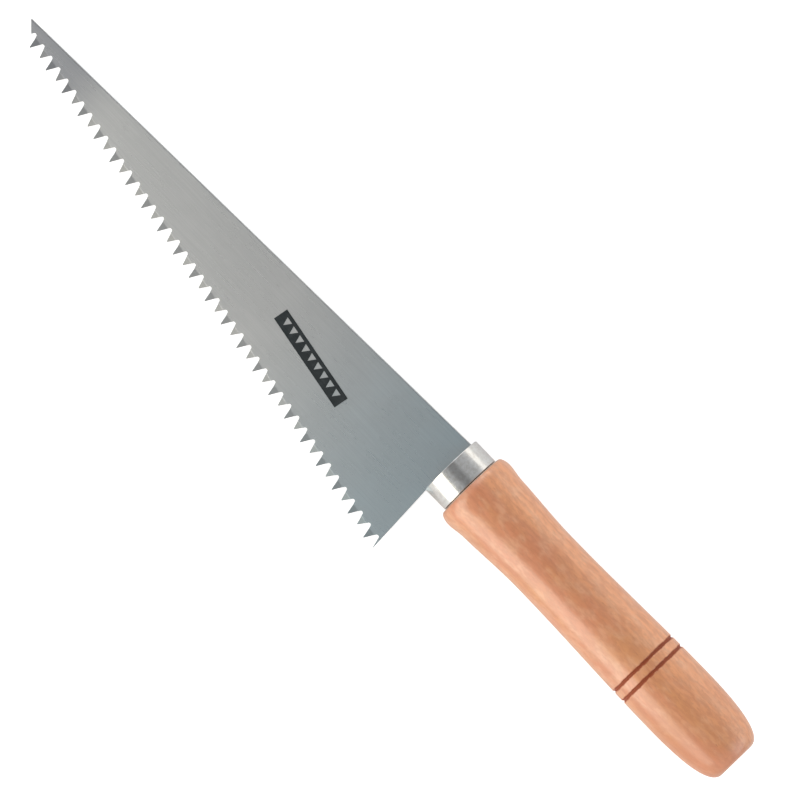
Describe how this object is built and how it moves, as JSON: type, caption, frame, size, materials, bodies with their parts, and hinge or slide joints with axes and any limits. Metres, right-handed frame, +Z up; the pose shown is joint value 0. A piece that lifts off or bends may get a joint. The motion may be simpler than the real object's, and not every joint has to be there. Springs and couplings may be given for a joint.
{
  "type": "drywall saw",
  "caption": "Drywall saw: a tapered blade with coarse, alternately set teeth, tanged into a turned wooden handle behind a polished steel ferrule.",
  "frame": {"origin": "on the surface that the saw rests on, under the middle of its bounding box, as it lies on the tips of the teeth that are set downwards and on the swell at the front of its handle", "axes": "+X along the saw towards the butt of the handle, +Y towards the blade's back edge, -Y towards its teeth, +Z up from the resting surface; the blade lies about 17.6 degrees from level, lower at the teeth, and the handle's axis rises about 3.1 degrees towards the butt"},
  "size_m": [0.3038, 0.047, 0.0296],
  "materials": {
    "blade_steel": "brushed along the blade, satin",
    "mark_ink": "printed ink, near-black, satin",
    "ferrule_steel": "polished, lightly scuffed",
    "handle_wood": "pale hardwood under satin lacquer, grooves burnt brown",
    "adhesive": "cured resin, amber"
  },
  "bodies": {
    "root": {"blade": "blade_steel", "blade_mark": "mark_ink", "ferrule": "ferrule_steel", "handle": "handle_wood", "tang_adhesive": "adhesive"}
  },
  "joints": []
}
